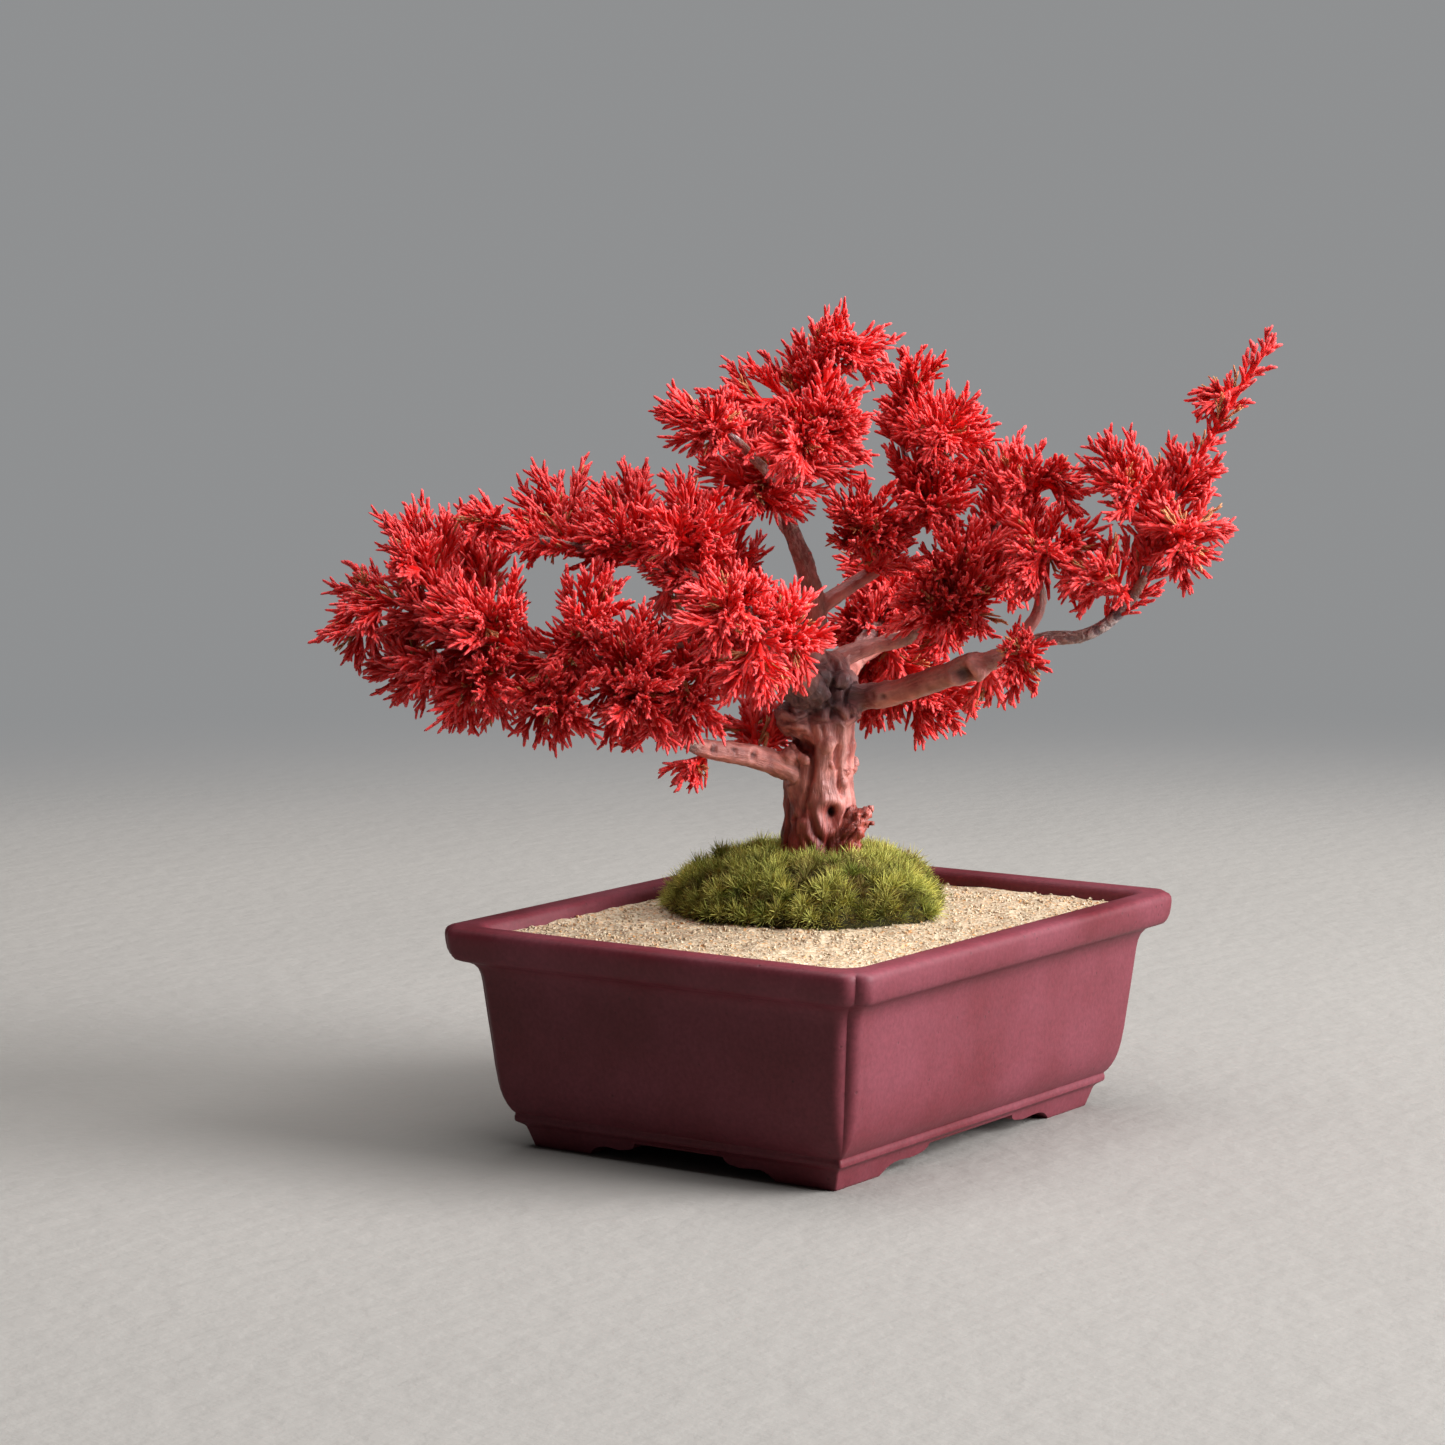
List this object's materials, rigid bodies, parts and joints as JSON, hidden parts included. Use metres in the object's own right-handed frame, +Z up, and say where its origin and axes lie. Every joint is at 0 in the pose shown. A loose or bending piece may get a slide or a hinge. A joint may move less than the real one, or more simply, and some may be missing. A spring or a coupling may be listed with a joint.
{
  "type": "juniper bonsai",
  "caption": "Potted juniper bonsai: thick ridged trunk, spreading limbs with sprays of red scale-leaf foliage, moss and sand, in a footed rectangular pot with indented corners.",
  "frame": {"origin": "centre of the pot's outline, on the surface that the feet stand on", "axes": "+X along the pot's long side, +Y along its short side, +Z up"},
  "size_m": [0.1716, 0.1926, 0.1996],
  "materials": {
    "stoneware": "unglazed, fine matte grit",
    "soil": "crumbly, dull",
    "sand": "loose grains with some glitter",
    "moss": "tufted, soft",
    "bark": "fibrous, flaking",
    "foliage": "scale leaves, satin",
    "screen": "moulded mesh"
  },
  "bodies": {
    "root": {"pot": "stoneware", "drain_screen_left": "screen", "drain_screen_right": "screen", "soil_fill": "soil", "sand_layer": "sand", "moss_mound": "moss", "trunk_and_branches": "bark", "spray_low_left_1": "foliage", "spray_low_left_2": "foliage", "spray_low_left_3": "foliage", "spray_right_1": "foliage", "spray_right_2": "foliage", "spray_right_3": "foliage", "spray_right_4": "foliage", "spray_right_5": "foliage", "spray_right_6": "foliage", "spray_right_7": "foliage", "spray_mid_1": "foliage", "spray_mid_2": "foliage", "spray_mid_3": "foliage", "spray_mid_right_1": "foliage", "spray_mid_right_2": "foliage", "spray_leader_1": "foliage", "spray_leader_2": "foliage", "spray_leader_3": "foliage", "spray_leader_4": "foliage", "spray_leader_fork_1": "foliage", "spray_leader_fork_2": "foliage", "spray_leader_fork_3": "foliage", "spray_leader_fork_4": "foliage", "spray_up_left_1": "foliage", "spray_up_left_2": "foliage", "spray_up_left_3": "foliage", "spray_up_left_4": "foliage", "spray_up_left_5": "foliage", "spray_left_1": "foliage", "spray_left_2": "foliage", "spray_left_3": "foliage", "spray_left_4": "foliage", "spray_left_5": "foliage", "spray_left_6": "foliage", "spray_left_7": "foliage", "spray_left_8": "foliage", "spray_left_9": "foliage", "spray_left_10": "foliage", "spray_left_11": "foliage", "spray_left_12": "foliage", "spray_front_1": "foliage", "spray_front_2": "foliage", "spray_front_3": "foliage", "spray_back_1": "foliage", "spray_back_2": "foliage", "spray_back_3": "foliage", "spray_back_left_1": "foliage", "spray_back_left_2": "foliage", "spray_back_right_1": "foliage", "spray_back_right_2": "foliage", "spray_up_back_1": "foliage", "spray_up_back_2": "foliage", "spray_up_front_1": "foliage"}
  },
  "joints": []
}
